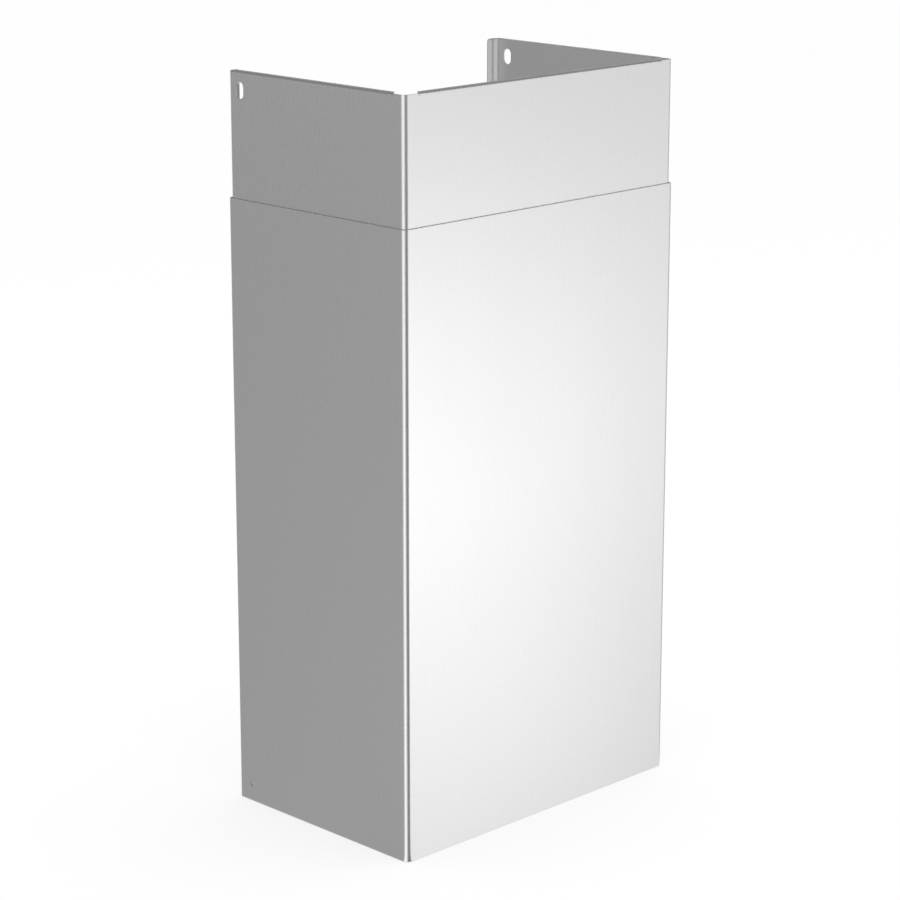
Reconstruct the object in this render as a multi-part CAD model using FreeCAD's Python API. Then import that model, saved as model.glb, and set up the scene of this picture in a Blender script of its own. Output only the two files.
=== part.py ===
import FreeCAD, Part
import os

# Cooker hood chimney: two sheet-steel covers, each folded from one blank into a channel that is
# open at the back. The upper cover slides up and down inside the lower one.
# X runs across the front, -Y is the front, +Z is up. The origin is at the middle of the foot.

# The sheet and its upright folds, the same on both covers
sheet = 1.0
upright_bend = 3.5
corner_chamfer = 2.0

# Lower cover, outside sizes
lower_width = 300.0
lower_depth = 200.0
lower_height = 500.0
lower_rear_return = 20.0

# Screw hole near the foot of each side of the lower cover
hole_diameter = 4.5
hole_from_rear = 16.5
hole_from_foot = 15.0

# Upper cover, with the running gap all round it and the length that shows as drawn
slide_gap = 0.5
upper_height = 480.0
upper_exposed = 100.0
upper_rear_return = 11.0

# Upright slot near the rear top corner of each side of the upper cover
slot_width = 8.0
slot_length = 13.0
slot_from_rear = 14.0
slot_from_top = 15.0

# Lips folded inwards along the upper cover's top edge, with a narrow relief slit at each end.
# The corners between the lips stop a step below the lips' top face.
corner_step = 0.6
lip_width = 5.5
lip_bend = 0.8
front_lip_to_fold = 10.5
side_lip_to_front_fold = 8.0
side_lip_to_rear_fold = 0.5
relief_width = 0.4
relief_below_bend = 0.5

# Sizes that follow from those above
fold_outer = upright_bend + sheet
lip_outer = lip_bend + sheet
relief_depth = max(lip_outer, corner_step) + relief_below_bend
upper_inset = sheet + slide_gap
upper_width = lower_width - 2 * upper_inset
upper_depth = lower_depth - 2 * upper_inset
upper_top = lower_height + upper_exposed
upper_foot = upper_top - upper_height


def vector(x, y, z):
    return FreeCAD.Vector(x, y, z)


def rounded_line(points, radius):
    """Open wire through the points, its right-angled corners turned into arcs of one radius."""
    edges = []
    start = points[0]
    for before, corner, after in zip(points, points[1:], points[2:]):
        arriving = (corner - before).normalize()
        leaving = (after - corner).normalize()
        arc_start = corner - arriving * radius
        arc_end = corner + leaving * radius
        centre = arc_start + leaving * radius
        arc_middle = centre + (corner - centre).normalize() * radius
        edges.append(Part.makeLine(start, arc_start))
        edges.append(Part.Arc(arc_start, arc_middle, arc_end).toShape())
        start = arc_end
    edges.append(Part.makeLine(start, points[-1]))
    return Part.Wire(edges)


def folded_section(outer, inner, bend):
    """Cross-section of the sheet between its outer and inner fold points."""
    outside = rounded_line(outer, bend + sheet)
    inside = rounded_line(inner, bend)
    first_end = Part.makeLine(outer[0], inner[0])
    last_end = Part.makeLine(outer[-1], inner[-1])
    edges = outside.Edges + inside.Edges + [first_end, last_end]
    return Part.Face(Part.Wire(Part.__sortEdges__(edges)))


def free_corner_edges(solid, x, heights):
    """Short edges through the sheet at the free corners of the two rear returns."""
    corners = []
    for edge in solid.Edges:
        middle = edge.CenterOfMass
        across = edge.BoundBox.YLength > edge.BoundBox.ZLength
        at_free_edge = abs(abs(middle.x) - x) < sheet / 4
        at_end = min(abs(middle.z - height) for height in heights) < sheet / 4
        if across and at_free_edge and at_end:
            corners.append(edge)
    return corners


def folded_channel(width, depth, rear_return, foot, top):
    """Front, two sides and two rear returns folded from one sheet, open at the back."""
    free = width / 2 - rear_return

    def fold_points(inset):
        side = width / 2 - inset
        back = depth / 2 - inset
        return [
            vector(-free, back, foot),
            vector(-side, back, foot),
            vector(-side, -back, foot),
            vector(side, -back, foot),
            vector(side, back, foot),
            vector(free, back, foot),
        ]

    section = folded_section(fold_points(0), fold_points(sheet), upright_bend)
    channel = section.extrude(vector(0, 0, top - foot))
    return channel.makeChamfer(corner_chamfer, free_corner_edges(channel, free, (foot, top)))


def lip(span, mitred_start, mitred_end):
    """Lip along +X from the origin: the panel's outer face is Y = 0, its top is Z = 0.
    A mitred end is cut at 45 degrees from the bend to the free edge, the other end is square."""

    def fold_points(inset):
        return [
            vector(0, inset, -relief_depth),
            vector(0, inset, -inset),
            vector(0, lip_width, -inset),
        ]

    strip = folded_section(fold_points(0), fold_points(sheet), lip_bend).extrude(vector(span, 0, 0))
    cut_back = lip_width - lip_outer
    free_start = cut_back if mitred_start else 0
    free_end = span - cut_back if mitred_end else span
    plan = Part.makePolygon(
        [
            vector(0, 0, -relief_depth),
            vector(span, 0, -relief_depth),
            vector(span, lip_outer, -relief_depth),
            vector(free_end, lip_width, -relief_depth),
            vector(free_start, lip_width, -relief_depth),
            vector(0, lip_outer, -relief_depth),
            vector(0, 0, -relief_depth),
        ]
    )
    return strip.common(Part.Face(plan).extrude(vector(0, 0, relief_depth)))


def with_lip(cover, span, corner, turn, mitred_start, mitred_end):
    """Cuts the panel back over the lip's span and its two reliefs, then folds the lip in there."""
    place = FreeCAD.Placement(corner, FreeCAD.Rotation(vector(0, 0, 1), turn))
    notch = Part.makeBox(
        span + 2 * relief_width,
        3 * sheet,
        2 * relief_depth,
        vector(-relief_width, -sheet, -relief_depth),
    )
    folded = lip(span, mitred_start, mitred_end)
    notch.Placement = place
    folded.Placement = place
    return cover.cut(notch).fuse(folded)


def cross_slot(y, z):
    """Upright slot cut along X through both sides."""
    reach = (slot_length - slot_width) / 2
    radius = slot_width / 2
    start = -lower_width
    low_front = vector(start, y - radius, z - reach)
    low_rear = vector(start, y + radius, z - reach)
    high_front = vector(start, y - radius, z + reach)
    high_rear = vector(start, y + radius, z + reach)
    outline = Part.Wire(
        [
            Part.makeLine(low_front, high_front),
            Part.Arc(high_front, vector(start, y, z + reach + radius), high_rear).toShape(),
            Part.makeLine(high_rear, low_rear),
            Part.Arc(low_rear, vector(start, y, z - reach - radius), low_front).toShape(),
        ]
    )
    return Part.Face(outline).extrude(vector(2 * lower_width, 0, 0))


def make_lower_cover():
    """Outer cover: plain top and foot, and a screw hole at the rear foot of each side."""
    cover = folded_channel(lower_width, lower_depth, lower_rear_return, 0, lower_height)
    holes = Part.makeCylinder(
        hole_diameter / 2,
        2 * lower_width,
        vector(-lower_width, lower_depth / 2 - hole_from_rear, hole_from_foot),
        vector(1, 0, 0),
    )
    return cover.cut(holes)


def make_upper_cover():
    """Inner cover: lips along three top edges and a slot at the rear top of each side."""
    side = upper_width / 2
    back = upper_depth / 2
    corner_top = upper_top - corner_step
    cover = folded_channel(upper_width, upper_depth, upper_rear_return, upper_foot, corner_top)

    front_lip_end = fold_outer + front_lip_to_fold
    side_front_end = fold_outer + side_lip_to_front_fold
    side_rear_end = fold_outer + side_lip_to_rear_fold
    front_span = upper_width - 2 * front_lip_end
    side_span = upper_depth - side_front_end - side_rear_end
    cover = with_lip(cover, front_span, vector(front_lip_end - side, -back, upper_top), 0, True, True)
    cover = with_lip(cover, side_span, vector(-side, back - side_rear_end, upper_top), -90, False, True)
    cover = with_lip(cover, side_span, vector(side, side_front_end - back, upper_top), 90, True, False)

    slots = cross_slot(back - slot_from_rear, upper_top - slot_from_top)
    return cover.cut(slots).removeSplitter()


os.makedirs("parts", exist_ok=True)
make_lower_cover().exportStep("parts/lower_cover.step")
make_upper_cover().exportStep("parts/upper_cover.step")
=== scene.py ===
import math
import bpy
import numpy as np
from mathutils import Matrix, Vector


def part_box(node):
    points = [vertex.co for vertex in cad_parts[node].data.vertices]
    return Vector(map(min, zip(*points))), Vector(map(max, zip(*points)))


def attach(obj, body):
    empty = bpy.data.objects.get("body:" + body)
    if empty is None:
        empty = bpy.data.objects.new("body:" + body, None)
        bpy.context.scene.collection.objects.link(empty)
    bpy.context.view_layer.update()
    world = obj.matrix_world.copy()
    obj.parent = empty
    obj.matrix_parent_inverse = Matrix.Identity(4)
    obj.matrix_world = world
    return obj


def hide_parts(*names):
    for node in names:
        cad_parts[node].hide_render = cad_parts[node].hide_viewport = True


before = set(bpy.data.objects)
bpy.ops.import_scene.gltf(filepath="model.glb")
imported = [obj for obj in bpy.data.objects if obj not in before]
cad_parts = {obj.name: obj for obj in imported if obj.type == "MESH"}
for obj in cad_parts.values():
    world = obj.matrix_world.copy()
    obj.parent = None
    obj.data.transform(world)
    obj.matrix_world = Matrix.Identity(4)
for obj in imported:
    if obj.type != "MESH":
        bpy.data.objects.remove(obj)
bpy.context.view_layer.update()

# Lower cover: the wide outer cover of the chimney, one blank of brushed stainless sheet.
# The blank is cut flat with its two screw holes, then folded along four upright bends into
# a front, two sides and two rear returns. It stands on its plain foot edge.
sheet = 0.001
fold_radius = 0.0045
quarter_turn = math.pi / 2
fold_length = fold_radius * quarter_turn
corner_chamfer = 0.002
chamfer_fade = 2 * corner_chamfer
weld_digits = 7
same_place = 1e-6
lower_low, lower_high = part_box("lower_cover")
lower_width = lower_high.x - lower_low.x
lower_depth = lower_high.y - lower_low.y
lower_return = 0.020
lower_height_stops = 12
hole_from_foot = 0.015
hole_stops = 9
screw_hole = {
    "radius": 0.00225,
    "reach": 0.0,
    "from_rear": 0.0165,
    "height": lower_low.z + hole_from_foot,
    "frame": (0.006, 0.006),
}


def flats_of(width, depth, rear_return):
    """Lengths of the five flats between the bends, from the left free edge to the right one."""
    side = depth - 2 * fold_radius
    rear = rear_return - fold_radius
    return [rear, side, width - 2 * fold_radius, side, rear]


def blank_length(width, depth, rear_return):
    """Developed length of the outer face: the five flats and the four bends between them."""
    return sum(flats_of(width, depth, rear_return)) + 4 * fold_length


def along_side(rear_return, from_rear):
    """Developed length of a point on the left side, given its distance from the back: the return's
    flat and the rear bend, then that distance less the bend's radius."""
    return rear_return - fold_radius + fold_length + from_rear - fold_radius


def folded_path(along, width, depth, rear_return):
    """Point and inward normal of the outer face at developed lengths from the left free edge.
    Each flat adds its heading times the length run on it, each bend adds its radius times the chord
    of the angle turned on it; the heading starts along -X and turns left by a quarter per bend."""
    x = np.full_like(along, rear_return - width / 2)
    y = np.full_like(along, depth / 2)
    heading = np.full_like(along, math.pi)
    start = 0.0
    facing = math.pi
    bends = [quarter_turn] * 4 + [0.0]
    for flat, bend in zip(flats_of(width, depth, rear_return), bends):
        run = np.clip(along - start, 0.0, flat)
        turned = np.clip((along - start - flat) / fold_radius, 0.0, bend)
        x += run * math.cos(facing) + fold_radius * (np.sin(facing + turned) - math.sin(facing))
        y += run * math.sin(facing) - fold_radius * (np.cos(facing + turned) - math.cos(facing))
        heading += turned
        start += flat + fold_length
        facing += quarter_turn
    return np.stack([x, y], -1), np.stack([-np.sin(heading), np.cos(heading)], -1)


def in_order(stops):
    """All the stops of a grid line in order, with those that fall on the same place made one."""
    return np.unique(np.round(np.concatenate(stops), weld_digits))


def blank_columns(width, depth, rear_return, marks, flat_stops=5, bend_stops=17, margin=0.0005):
    """Developed lengths of the blank's grid columns: every bend in equal steps, a narrow margin beside
    it, the chamfers, a few columns over each flat, and the marks with their mirror images."""
    length = blank_length(width, depth, rear_return)
    stops = [marks, length - marks, [corner_chamfer, length - corner_chamfer]]
    start = 0.0
    bends = [fold_length] * 4 + [0.0]
    for flat, bend in zip(flats_of(width, depth, rear_return), bends):
        stops.append(start + np.linspace(0.0, flat, flat_stops))
        stops.append([start + margin, start + flat - margin])
        stops.append(start + flat + np.linspace(0.0, bend, bend_stops))
        start += flat + bend
    return in_order(stops)


def grid_quads(index):
    """Quads between neighbours in a grid of point numbers, two rows and two columns to each."""
    return np.stack([index[:-1, :-1], index[1:, :-1], index[1:, 1:], index[:-1, 1:]], -1)


def blank_mesh(columns, rows, holes, gone, ring_stops=5):
    """Flat points and quads of a pierced blank. The grid loses the cells marked as gone and those in
    the frame round each hole. Rings fill the frame: point (t, i) is (1 - t) outline_i + t frame_i,
    where outline_i lies one radius from the nearest point of the hole's upright middle line."""
    along, height = np.meshgrid(columns, rows, indexing="ij")
    cells = grid_quads(np.arange(along.size).reshape(along.shape))
    middle_along = (columns[:-1] + columns[1:]) / 2
    middle_height = (rows[:-1] + rows[1:]) / 2
    kept = ~gone(middle_along[:, None], middle_height[None, :])
    points = [np.stack([along.ravel(), height.ravel()], -1)]
    quads = []
    count = along.size
    for hole in holes:
        half_along, half_height = hole["frame"]
        in_along = np.abs(columns - hole["along"]) < half_along + same_place
        in_height = np.abs(rows - hole["height"]) < half_height + same_place
        kept &= ~(in_along[:-1] & in_along[1:])[:, None] | ~(in_height[:-1] & in_height[1:])[None, :]
        across = columns[in_along]
        up = rows[in_height]
        beside = np.ones(len(up) - 1)
        above = np.ones(len(across) - 1)
        frame_along = np.concatenate([across[:-1], across[-1] * beside, across[:0:-1], across[0] * beside])
        frame_height = np.concatenate([up[0] * above, up[:-1], up[-1] * above, up[:0:-1]])
        border = np.stack([frame_along, frame_height], -1)
        level = np.clip(frame_height - hole["height"], -hole["reach"], hole["reach"]) + hole["height"]
        core = np.stack([np.full_like(level, hole["along"]), level], -1)
        spoke = border - core
        outline = core + hole["radius"] * spoke / np.linalg.norm(spoke, axis=1, keepdims=True)
        blend = np.linspace(0.0, 1.0, ring_stops)[:, None, None]
        ring = (1 - blend) * outline + blend * border
        order = np.arange(ring.shape[0] * ring.shape[1]).reshape(ring.shape[:2]) + count
        after = np.roll(order, -1, axis=1)
        quads.append(np.stack([order[:-1], order[1:], after[1:], after[:-1]], -1).reshape(-1, 4))
        points.append(ring.reshape(-1, 2))
        count += order.size
    quads.append(cells[kept])
    flat, welded = np.unique(np.round(np.concatenate(points), weld_digits), axis=0, return_inverse=True)
    quads = welded.reshape(-1)[np.concatenate(quads)]
    used, quads = np.unique(quads, return_inverse=True)
    return flat[used], quads.reshape(-1, 4)


def no_cells(along, height):
    """False over the whole blank: the lower cover has no relief cuts."""
    return np.zeros(np.broadcast(along, height).shape, bool)


def trim_free_corners(flat, length, low, high):
    """Cuts the free corners at 45 degrees: near a free edge the column ends draw in by the chamfer
    less the distance to that edge, fading to nothing two chamfers further along the column."""
    cut = np.clip(corner_chamfer - np.minimum(flat[:, 0], length - flat[:, 0]), 0.0, None)
    near_low = np.clip(1 - (flat[:, 1] - low) / chamfer_fade, 0.0, 1.0)
    near_high = np.clip(1 - (high - flat[:, 1]) / chamfer_fade, 0.0, 1.0)
    return np.stack([flat[:, 0], flat[:, 1] + cut * (near_low - near_high)], -1)


def on_hole_edge(flat, holes):
    """True for the points of a blank that lie one radius from the upright middle line of a hole."""
    found = np.zeros(len(flat), bool)
    for hole in holes:
        rise = flat[:, 1] - hole["height"]
        past_line = rise - np.clip(rise, -hole["reach"], hole["reach"])
        from_line = np.hypot(flat[:, 0] - hole["along"], past_line)
        found |= np.abs(from_line - hole["radius"]) < same_place
    return found


def sheet_object(name, outer, inner, flat, quads, pierced, finishes):
    """Closed sheet from its outer and inner faces: the inner quads run the other way round, and every
    edge that only one outer quad uses is joined to its partner by a quad of the cut rim. The four
    finishes go on the outer face, the inner face, the rim and the walls of the pierced holes."""
    outer_face, inner_face, cut_rim, hole_wall = range(4)
    count = len(outer)
    edges = np.stack([quads, np.roll(quads, -1, axis=1)], -1).reshape(-1, 2)
    alone = ~np.isin(edges[:, 0] * count + edges[:, 1], edges[:, 1] * count + edges[:, 0])
    start, end = edges[alone].T
    rim = np.stack([end, start, start + count, end + count], -1)
    faces = np.concatenate([quads, quads[:, ::-1] + count, rim])
    face_finish = np.repeat([outer_face, inner_face], len(quads))
    rim_finish = np.where(pierced[start], hole_wall, cut_rim)
    mesh = bpy.data.meshes.new(name)
    mesh.from_pydata(np.concatenate([outer, inner]).tolist(), [], faces.tolist())
    for finish in finishes:
        mesh.materials.append(finish)
    mesh.polygons.foreach_set("material_index", np.concatenate([face_finish, rim_finish]).astype(np.int32))
    mesh.polygons.foreach_set("use_smooth", np.ones(len(faces), bool))
    blank_map = mesh.uv_layers.new(name="blank")
    blank_map.data.foreach_set("uv", np.concatenate([flat, flat])[faces.ravel()].ravel())
    piece = bpy.data.objects.new(name, mesh)
    bpy.context.collection.objects.link(piece)
    edge_break = piece.modifiers.new("edge_break", "BEVEL")
    edge_break.width = 0.00007
    edge_break.segments = 2
    edge_break.limit_method = "ANGLE"
    edge_break.angle_limit = math.radians(50)
    edge_break.harden_normals = True
    return piece


def brushed_grain_group():
    """Grain of a brushed sheet on the blank's own flat map: long thin scratches up the height in
    two sizes, and broad soft patches from rolling and handling. Each is a noise with so many marks
    a metre across the sheet and a share of that number along it."""
    group = bpy.data.node_groups.new("brushed_grain", "ShaderNodeTree")
    marks = (
        ("Scratch", "Scratches a metre", 5200.0, 0.006),
        ("Streak", "Streaks a metre", 900.0, 0.004),
        ("Patch", "Patches a metre", 7.0, 0.6),
    )
    group.interface.new_socket("Flat", in_out="INPUT", socket_type="NodeSocketVector")
    for mark, number, a_metre, _ in marks:
        number_socket = group.interface.new_socket(number, in_out="INPUT", socket_type="NodeSocketFloat")
        number_socket.default_value = a_metre
        group.interface.new_socket(mark, in_out="OUTPUT", socket_type="NodeSocketFloat")
    inputs = group.nodes.new("NodeGroupInput")
    outputs = group.nodes.new("NodeGroupOutput")
    for mark, number, _, share_along in marks:
        squeeze = group.nodes.new("ShaderNodeMapping")
        squeeze.inputs["Scale"].default_value = (1.0, share_along, 1.0)
        noise = group.nodes.new("ShaderNodeTexNoise")
        noise.inputs["Detail"].default_value = 3.0
        group.links.new(inputs.outputs["Flat"], squeeze.inputs["Vector"])
        group.links.new(squeeze.outputs["Vector"], noise.inputs["Vector"])
        group.links.new(inputs.outputs[number], noise.inputs["Scale"])
        group.links.new(noise.outputs["Fac"], outputs.inputs[mark])
    return group


brushed_grain = brushed_grain_group()


def spread(material, noise, low, high, noise_low=0.3, noise_high=0.7):
    """Spreads a noise over the range low to high, from the range that it mostly keeps to."""
    spread_node = material.node_tree.nodes.new("ShaderNodeMapRange")
    spread_node.inputs["From Min"].default_value = noise_low
    spread_node.inputs["From Max"].default_value = noise_high
    spread_node.inputs["To Min"].default_value = low
    spread_node.inputs["To Max"].default_value = high
    material.node_tree.links.new(noise, spread_node.inputs["Value"])
    return spread_node.outputs["Result"]


def stainless(
    name, tone, tone_change, roughness, roughness_change, scratch_depth, bare_metal=1.0, patch_haze=0.01
):
    """Stainless sheet: metal whose tone follows the streaks of the grain, whose roughness is the sum
    of its scratches and patches, and whose bump is its scratches. A dulled face has less bare metal."""
    material = bpy.data.materials.new(name)
    material.use_nodes = True
    nodes = material.node_tree.nodes
    links = material.node_tree.links
    metal = nodes["Principled BSDF"]
    metal.inputs["Metallic"].default_value = bare_metal
    flat_map = nodes.new("ShaderNodeUVMap")
    flat_map.uv_map = "blank"
    grain = nodes.new("ShaderNodeGroup")
    grain.node_tree = brushed_grain
    links.new(flat_map.outputs["UV"], grain.inputs["Flat"])
    dark = tone - tone_change
    light = tone + tone_change
    tone_mix = nodes.new("ShaderNodeMix")
    tone_mix.data_type = "RGBA"
    tone_mix.inputs["A"].default_value = (dark, dark, dark, 1.0)
    tone_mix.inputs["B"].default_value = (light, light, light, 1.0)
    links.new(spread(material, grain.outputs["Streak"], 0.0, 1.0), tone_mix.inputs["Factor"])
    links.new(tone_mix.outputs["Result"], metal.inputs["Base Color"])
    smooth = roughness - roughness_change
    rough = roughness + roughness_change
    rough_sum = nodes.new("ShaderNodeMath")
    links.new(spread(material, grain.outputs["Scratch"], smooth, rough), rough_sum.inputs[0])
    links.new(spread(material, grain.outputs["Patch"], -patch_haze, patch_haze), rough_sum.inputs[1])
    links.new(rough_sum.outputs["Value"], metal.inputs["Roughness"])
    scratch_bump = nodes.new("ShaderNodeBump")
    scratch_bump.inputs["Strength"].default_value = scratch_depth
    scratch_bump.inputs["Distance"].default_value = 0.00002
    links.new(grain.outputs["Scratch"], scratch_bump.inputs["Height"])
    links.new(scratch_bump.outputs["Normal"], metal.inputs["Normal"])
    return material


brushed_face = stainless(
    "brushed_face", tone=0.76, tone_change=0.004, roughness=0.28, roughness_change=0.015,
    scratch_depth=0.015,
)
mill_back = stainless(
    "mill_back", tone=0.71, tone_change=0.004, roughness=0.24, roughness_change=0.015, scratch_depth=0.01
)
deburred_edge = stainless(
    "deburred_edge", tone=0.82, tone_change=0.04, roughness=0.44, roughness_change=0.08, scratch_depth=0.10,
    bare_metal=0.7,
)
# The screw holes' walls get a darker tone than the other cut edges: painted shade, so that the holes read
# dark as if shaded inside. Their roughness and scratches are the cut's own.
pierced_wall_painted_shade = stainless(
    "pierced_wall_painted_shade", tone=0.5, tone_change=0.03, roughness=0.4, roughness_change=0.05, scratch_depth=0.10
)
lower_finishes = [brushed_face, mill_back, deburred_edge, pierced_wall_painted_shade]
lower_length = blank_length(lower_width, lower_depth, lower_return)
screw_hole["along"] = along_side(lower_return, screw_hole["from_rear"])
right_screw_hole = dict(screw_hole, along=lower_length - screw_hole["along"])
screw_holes = [screw_hole, right_screw_hole]
hole_half, hole_half_height = screw_hole["frame"]
hole_columns = screw_hole["along"] + np.linspace(-hole_half, hole_half, hole_stops)
lower_columns = blank_columns(lower_width, lower_depth, lower_return, hole_columns)
lower_rows = in_order([
    screw_hole["height"] + np.linspace(-hole_half_height, hole_half_height, hole_stops),
    np.linspace(lower_low.z, lower_high.z, lower_height_stops),
    [lower_low.z + chamfer_fade, lower_high.z - chamfer_fade],
])
lower_flat, lower_quads = blank_mesh(lower_columns, lower_rows, screw_holes, no_cells)
lower_pierced = on_hole_edge(lower_flat, screw_holes)
lower_flat = trim_free_corners(lower_flat, lower_length, lower_low.z, lower_high.z)
lower_path, lower_inward = folded_path(lower_flat[:, 0], lower_width, lower_depth, lower_return)
lower_outer = np.column_stack([lower_path, lower_flat[:, 1]])
lower_inner = np.column_stack([lower_path + sheet * lower_inward, lower_flat[:, 1]])
lower_piece = sheet_object(
    "lower_cover_sheet", lower_outer, lower_inner, lower_flat, lower_quads, lower_pierced, lower_finishes
)
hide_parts("lower_cover")
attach(lower_piece, "lower")

# Upper cover: the inner cover, a second blank of the same sheet folded into a narrower channel.
# Its top edge is folded inwards as a lip on the front and on each side, with a relief cut at each
# lip's ends, and an upright slot near each rear top corner takes the wall bracket's screw.
upper_low, upper_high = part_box("upper_cover")
upper_width = upper_high.x - upper_low.x
upper_depth = upper_high.y - upper_low.y
upper_return = 0.011
upper_length = blank_length(upper_width, upper_depth, upper_return)
upper_height_stops = 12
corner_step = 0.0006
lip_width = 0.0055
lip_radius = 0.0018
front_lip_to_fold = 0.0105
side_lip_to_front_fold = 0.008
side_lip_to_rear_fold = 0.0005
relief_width = 0.0004
relief_below_bend = 0.0005
relief_depth = lip_radius + relief_below_bend
lip_line = upper_high.z - relief_depth
lip_flat = lip_width - lip_radius
lip_length = relief_below_bend + lip_radius * quarter_turn + lip_flat
lip_bend_stops = 9
lip_flat_margin = 0.1 * lip_flat
slot_from_top = 0.015
slot_stops = 9
slot_height_stops = 13
slot_zone = 0.03
bracket_slot = {
    "radius": 0.004,
    "reach": 0.0025,
    "from_rear": 0.014,
    "height": upper_high.z - slot_from_top,
    "frame": (0.0085, 0.011),
}


def lip_spans():
    """Developed start, end and fixed point of the left, front and right lips. A side lip is fixed at
    its square rear end and the front lip at its middle, so only the ends away from there are mitred."""
    rear, side, front, _, _ = flats_of(upper_width, upper_depth, upper_return)
    side_start = rear + fold_length
    front_start = side_start + side + fold_length
    left_start = side_start + side_lip_to_rear_fold
    left_end = side_start + side - side_lip_to_front_fold
    front_end = front_start + front - front_lip_to_fold
    return [
        (left_start, left_end, left_start),
        (front_start + front_lip_to_fold, front_end, upper_length / 2),
        (upper_length - left_end, upper_length - left_start, upper_length - left_start),
    ]


def fold_lips(flat, inset):
    """Folded points of the upper blank, inset from its outer face. A point of a lip, w above the lip
    line, rises on a straight, turns inwards by the angle w / radius on the bend and then runs in
    flat. Its distance from the lip's fixed point shrinks as it runs in, which mitres the ends. Beside
    the lips the heights above the lip line shrink, so that the corners end a step lower."""
    along = flat[:, 0].copy()
    lifted = flat[:, 1] > lip_line
    on_lip = np.zeros(len(flat), bool)
    run = (flat[:, 1] - lip_line) * lip_length / relief_depth
    straight = np.clip(run, 0.0, relief_below_bend)
    angle = np.clip((run - relief_below_bend) / lip_radius, 0.0, quarter_turn)
    flat_run = np.clip(run - relief_below_bend - lip_radius * quarter_turn, 0.0, None)
    for start, end, fixed in lip_spans():
        member = lifted & (along > start - same_place) & (along < end + same_place)
        longest = max(end - fixed, fixed - start)
        along = np.where(member, fixed + (along - fixed) * (longest - flat_run) / longest, along)
        on_lip |= member
    angle = np.where(on_lip, angle, 0.0)
    reach = np.where(on_lip, lip_radius * (1 - np.cos(angle)) + flat_run, 0.0)
    beside = flat[:, 1] - lifted * (flat[:, 1] - lip_line) * corner_step / relief_depth
    height = np.where(on_lip, lip_line + straight + lip_radius * np.sin(angle), beside)
    path, inward = folded_path(along, upper_width, upper_depth, upper_return)
    path = path + inward * (reach + inset * np.cos(angle))[:, None]
    return np.column_stack([path, height - inset * np.sin(angle)])


def relief_cells(along, height):
    """True over the relief cuts beside the lips, from the lip line up."""
    beside = np.zeros(np.broadcast(along, height).shape, bool)
    for start, end, _ in lip_spans():
        beyond_end = np.abs(along - (start + end) / 2) - (end - start) / 2
        beside |= (beyond_end > 0) & (beyond_end < relief_width)
    return beside & (height > lip_line)


sheared_edge = stainless(
    "sheared_edge", tone=0.71, tone_change=0.03, roughness=0.38, roughness_change=0.06, scratch_depth=0.10
)
upper_finishes = [brushed_face, mill_back, sheared_edge, sheared_edge]
bracket_slot["along"] = along_side(upper_return, bracket_slot["from_rear"])
right_bracket_slot = dict(bracket_slot, along=upper_length - bracket_slot["along"])
bracket_slots = [bracket_slot, right_bracket_slot]
slot_half, slot_half_height = bracket_slot["frame"]
slot_columns = bracket_slot["along"] + np.linspace(-slot_half, slot_half, slot_stops)
lip_columns = np.concatenate([
    [start - relief_width, start, start + lip_flat, end - lip_flat, end, end + relief_width]
    for start, end, _ in lip_spans()
])
upper_marks = np.concatenate([slot_columns, lip_columns])
upper_columns = blank_columns(upper_width, upper_depth, upper_return, upper_marks)
lip_runs = np.concatenate([
    [0.0],
    relief_below_bend + np.linspace(0.0, lip_radius * quarter_turn, lip_bend_stops),
    [lip_length - lip_flat + lip_flat_margin, lip_length],
])
upper_rows = in_order([
    bracket_slot["height"] + np.linspace(-slot_half_height, slot_half_height, slot_height_stops),
    np.linspace(upper_low.z, lip_line - slot_zone, upper_height_stops),
    [upper_low.z + chamfer_fade, upper_high.z - chamfer_fade],
    lip_line + lip_runs * relief_depth / lip_length,
])
upper_flat, upper_quads = blank_mesh(upper_columns, upper_rows, bracket_slots, relief_cells)
upper_pierced = on_hole_edge(upper_flat, bracket_slots)
upper_flat = trim_free_corners(upper_flat, upper_length, upper_low.z, upper_high.z)
upper_outer = fold_lips(upper_flat, 0.0)
upper_inner = fold_lips(upper_flat, sheet)
upper_piece = sheet_object(
    "upper_cover_sheet", upper_outer, upper_inner, upper_flat, upper_quads, upper_pierced, upper_finishes
)
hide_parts("upper_cover")
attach(upper_piece, "upper")

# Studio: a plain white floor that keeps the shadow, a white surround and a soft lamp overhead.
# Cards on the floor, overhead, behind the open back and in one rear corner are what the steel
# mirrors: grey ones darken a side and white ones brighten it. Only reflections see them.
floor_reach = 8.0
floor_tone = (0.95, 0.95, 0.95, 1.0)
floor_x = np.array([-floor_reach, lower_low.x + sheet, lower_high.x - sheet, floor_reach])
floor_y = np.array([-floor_reach, lower_low.y + sheet, lower_high.y - sheet, floor_reach])
floor_points = np.stack(np.meshgrid(floor_x, floor_y, [0.0], indexing="ij"), -1).reshape(-1, 3)
floor_index = np.arange(len(floor_points)).reshape(len(floor_x), len(floor_y))
floor_quads = grid_quads(floor_index).reshape(-1, 4)
floor_mesh = bpy.data.meshes.new("studio_floor")
floor_mesh.from_pydata(floor_points.tolist(), [], floor_quads.tolist())
floor = bpy.data.objects.new("studio_floor", floor_mesh)
bpy.context.collection.objects.link(floor)


def seen_directly(tree):
    """1 for rays from the camera, a mirror or glass, 0 for the light that falls on surfaces."""
    path = tree.nodes.new("ShaderNodeLightPath")
    either = tree.nodes.new("ShaderNodeMath")
    either.operation = "MAXIMUM"
    any_of = tree.nodes.new("ShaderNodeMath")
    any_of.operation = "MAXIMUM"
    tree.links.new(path.outputs["Is Camera Ray"], either.inputs[0])
    tree.links.new(path.outputs["Is Glossy Ray"], either.inputs[1])
    tree.links.new(either.outputs["Value"], any_of.inputs[0])
    tree.links.new(path.outputs["Is Transmission Ray"], any_of.inputs[1])
    return any_of.outputs["Value"]


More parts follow.
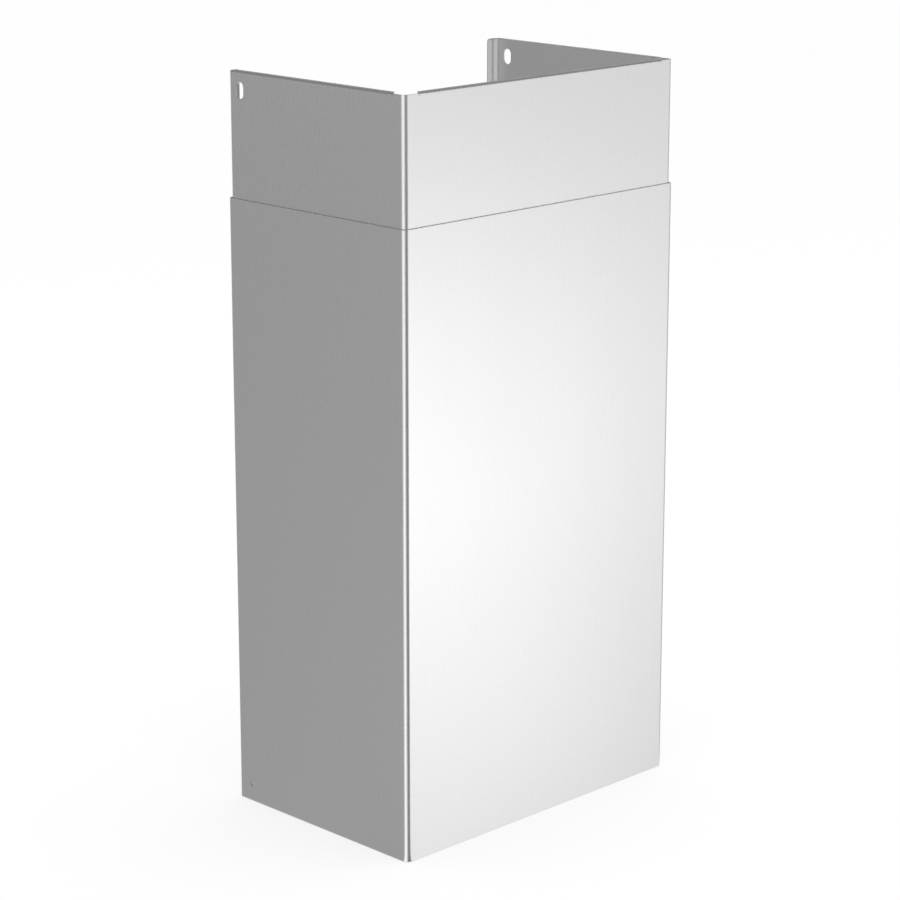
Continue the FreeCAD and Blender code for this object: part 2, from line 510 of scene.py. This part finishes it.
floor_white = bpy.data.materials.new("studio_floor_white")
floor_white.use_nodes = True
floor_mesh.materials.append(floor_white)
floor_tree = floor_white.node_tree
floor_paint = floor_tree.nodes["Principled BSDF"]
floor_paint.inputs["Base Color"].default_value = floor_tone
floor_paint.inputs["Roughness"].default_value = 1.0
floor_paint.inputs["Specular IOR Level"].default_value = 0.0
floor_glow = floor_tree.nodes.new("ShaderNodeEmission")
glow_share = floor_tree.nodes.new("ShaderNodeMath")
glow_share.operation = "MULTIPLY"
glow_share.inputs[1].default_value = 0.75
floor_tree.links.new(seen_directly(floor_tree), glow_share.inputs[0])
floor_mix = floor_tree.nodes.new("ShaderNodeMixShader")
floor_tree.links.new(glow_share.outputs["Value"], floor_mix.inputs["Fac"])
floor_tree.links.new(floor_paint.outputs["BSDF"], floor_mix.inputs[1])
floor_tree.links.new(floor_glow.outputs["Emission"], floor_mix.inputs[2])
floor_tree.links.new(floor_mix.outputs["Shader"], floor_tree.nodes["Material Output"].inputs["Surface"])

# The floor between the covers' walls has no glow of its own, so the inside is lit only from above
# and behind. It is the middle one of the floor's nine quads.
floor_inside = bpy.data.materials.new("studio_floor_inside")
floor_inside.use_nodes = True
floor_mesh.materials.append(floor_inside)
inside_paint = floor_inside.node_tree.nodes["Principled BSDF"]
inside_paint.inputs["Base Color"].default_value = floor_tone
inside_paint.inputs["Roughness"].default_value = 1.0
floor_mesh.polygons[len(floor_quads) // 2].material_index = 1

surround = bpy.data.worlds.new("studio_surround")
surround.use_nodes = True
surround.node_tree.nodes["Background"].inputs["Color"].default_value = (1.0, 1.0, 1.0, 1.0)
bpy.context.scene.world = surround

overhead_lamp = bpy.data.lights.new("overhead_soft_lamp", "AREA")
overhead_lamp.size = 1.6
overhead_lamp.energy = 14.0
overhead = bpy.data.objects.new("overhead_soft_lamp", overhead_lamp)
overhead.location = (0.3, -0.5, 2.4)
overhead.rotation_euler = (math.radians(-12), math.radians(8), 0.0)
bpy.context.collection.objects.link(overhead)


def studio_card(name, near, far, levels, across, lengthwise, stops=17, clear_back=False):
    """Flat card from a near edge to a far one, point (u, v) = (1 - v) near(u) + v far(u). Its light goes
    from the first level to the second with the product of two ramps, one across it and one along it.
    A card with a clear back is seen only from the side that its faces point to."""
    step = np.linspace(0.0, 1.0, stops)
    u, v = np.meshgrid(step, step, indexing="ij")
    u = u.reshape(-1, 1)
    v = v.reshape(-1, 1)
    near = np.asarray(near, float)
    far = np.asarray(far, float)
    near_point = (1 - u) * near[0] + u * near[1]
    far_point = (1 - u) * far[0] + u * far[1]
    quads = grid_quads(np.arange(stops * stops).reshape(stops, stops)).reshape(-1, 4)
    mesh = bpy.data.meshes.new(name)
    mesh.from_pydata(((1 - v) * near_point + v * far_point).tolist(), [], quads.tolist())
    card_map = mesh.uv_layers.new(name="card")
    card_map.data.foreach_set("uv", np.hstack([u, v])[quads.ravel()].ravel())
    material = bpy.data.materials.new(name)
    material.use_nodes = True
    mesh.materials.append(material)
    tree = material.node_tree
    tree.nodes.remove(tree.nodes["Principled BSDF"])
    glow = tree.nodes.new("ShaderNodeEmission")
    surface = tree.nodes["Material Output"].inputs["Surface"]
    tree.links.new(glow.outputs["Emission"], surface)
    if clear_back:
        side = tree.nodes.new("ShaderNodeNewGeometry")
        clear = tree.nodes.new("ShaderNodeBsdfTransparent")
        side_mix = tree.nodes.new("ShaderNodeMixShader")
        tree.links.new(side.outputs["Backfacing"], side_mix.inputs["Fac"])
        tree.links.new(glow.outputs["Emission"], side_mix.inputs[1])
        tree.links.new(clear.outputs["BSDF"], side_mix.inputs[2])
        tree.links.new(side_mix.outputs["Shader"], surface)
    place = tree.nodes.new("ShaderNodeUVMap")
    place.uv_map = "card"
    split = tree.nodes.new("ShaderNodeSeparateXYZ")
    tree.links.new(place.outputs["UV"], split.inputs["Vector"])
    both = tree.nodes.new("ShaderNodeMath")
    both.operation = "MULTIPLY"
    for slot, (axis, ramp_stops) in enumerate((("X", across), ("Y", lengthwise))):
        ramp = tree.nodes.new("ShaderNodeFloatCurve")
        points = ramp.mapping.curves[0].points
        while len(points) < len(ramp_stops):
            points.new(0.5, 0.5)
        for point, ramp_stop in zip(points, ramp_stops):
            point.location = ramp_stop
        ramp.mapping.update()
        tree.links.new(split.outputs[axis], ramp.inputs["Value"])
        tree.links.new(ramp.outputs["Value"], both.inputs[slot])
    strength = tree.nodes.new("ShaderNodeMapRange")
    strength.inputs["To Min"].default_value = levels[0]
    strength.inputs["To Max"].default_value = levels[1]
    tree.links.new(both.outputs["Value"], strength.inputs["Value"])
    tree.links.new(strength.outputs["Result"], glow.inputs["Strength"])
    card = bpy.data.objects.new(name, mesh)
    bpy.context.collection.objects.link(card)
    card.visible_camera = False
    card.visible_diffuse = False
    card.visible_transmission = False
    card.visible_shadow = False


# A ramp gives, at places from one edge of a card to the other, how far its light has gone from the
# first level to the second.
card_lift = 0.0005
hump_ramp = [(0.0, 0.0), (0.25, 0.35), (0.5, 1.0), (0.75, 0.35), (1.0, 0.0)]
table_ramp = [(0.0, 0.0), (0.1, 0.9), (0.5, 1.0), (0.9, 0.9), (1.0, 0.0)]
level_ramp = [(0.0, 1.0), (1.0, 1.0)]


def floor_fan(name, corner, first, last, levels, across, near=0.0035, far=3.5, rise=0.75):
    """Card on the floor between two compass angles round a corner, rising a little outwards: each of
    its edges is the corner plus a radius times the direction of the angle."""
    angle = np.radians([first, last])
    ray = np.stack([np.cos(angle), np.sin(angle)], -1)
    near_edge = np.column_stack([corner + near * ray, [card_lift, card_lift]])
    far_edge = np.column_stack([corner + far * ray, [rise, rise]])
    studio_card(name, near_edge, far_edge, levels, across, level_ramp)


left_front_corner = np.array([-0.146, -0.096])
right_front_corner = np.array([0.146, -0.096])
studio_card(
    "left_grey_card",
    near=[(-0.1495, -0.097, card_lift), (-0.1495, 0.35, card_lift)],
    far=[(-4.5, 1.0, 0.7), (-0.55, 4.8, 0.7)],
    levels=(1.0, 0.36),
    across=[(0.0, 0.94), (0.4, 0.94), (0.7, 1.0), (0.95, 1.0), (1.0, 0.5)],
    lengthwise=[(0.0, 0.98), (1.0, 1.0)],
)
floor_fan("corner_white_card", left_front_corner, 172.0, 222.0, levels=(0.8, 1.45), across=hump_ramp)
floor_fan("corner_grey_card", left_front_corner, 228.0, 284.0, levels=(0.8, 0.24), across=table_ramp)
studio_card(
    "front_white_card",
    near=[(-0.75, -0.0995, card_lift), (0.75, -0.0995, card_lift)],
    far=[(3.75, -7.9, 0.25), (10.25, -7.9, 0.25)],
    levels=(0.68, 1.48),
    across=[(0.0, 0.35), (0.25, 0.9), (0.40, 1.0), (0.66, 0.5), (1.0, 0.1)],
    lengthwise=[
        (0.0, 0.44), (0.05, 0.74), (0.125, 1.0), (0.225, 0.72), (0.375, 0.32), (0.5, 0.08), (1.0, 0.0),
    ],
)
studio_card(
    "ceiling_grey_card",
    near=[(-20.0, -3.2, 2.2), (20.0, -3.2, 2.2)],
    far=[(-20.0, 20.0, 2.2), (20.0, 20.0, 2.2)],
    levels=(1.0, 0.26),
    across=level_ramp,
    lengthwise=level_ramp,
)
floor_fan("right_grey_card", right_front_corner, -25.0, 30.0, levels=(1.0, 0.5), across=table_ramp)
studio_card(
    "rear_white_card",
    near=[(2.07, 1.25, card_lift), (1.0, 2.28, card_lift)],
    far=[(2.07, 1.25, 0.8), (1.0, 2.28, 0.8)],
    levels=(1.0, 1.35),
    across=table_ramp,
    lengthwise=level_ramp,
)
studio_card(
    "corner_strip_card",
    near=[(0.1472, 0.0925, 0.5), (0.130, 0.0925, 0.5)],
    far=[(0.1472, 0.0925, 0.598), (0.130, 0.0925, 0.598)],
    levels=(1.0, 0.68),
    across=level_ramp,
    lengthwise=level_ramp,
    clear_back=True,
)

# Camera: at the photograph's viewing angle, in front of the left corner and a little above,
# with a long lens that looks down by about fifteen degrees.
look_down = math.radians(14.976)
turn_right = math.radians(44.752)
camera_data = bpy.data.cameras.new("camera")
camera_data.lens = 114.8
camera_data.sensor_width = 36.0
camera = bpy.data.objects.new("camera", camera_data)
camera.location = (-1.5883, -1.5980, 0.8890)
camera.rotation_euler = (quarter_turn - look_down, 0.0, -turn_right)
bpy.context.collection.objects.link(camera)
bpy.context.scene.camera = camera
bpy.context.scene.view_settings.view_transform = "Standard"
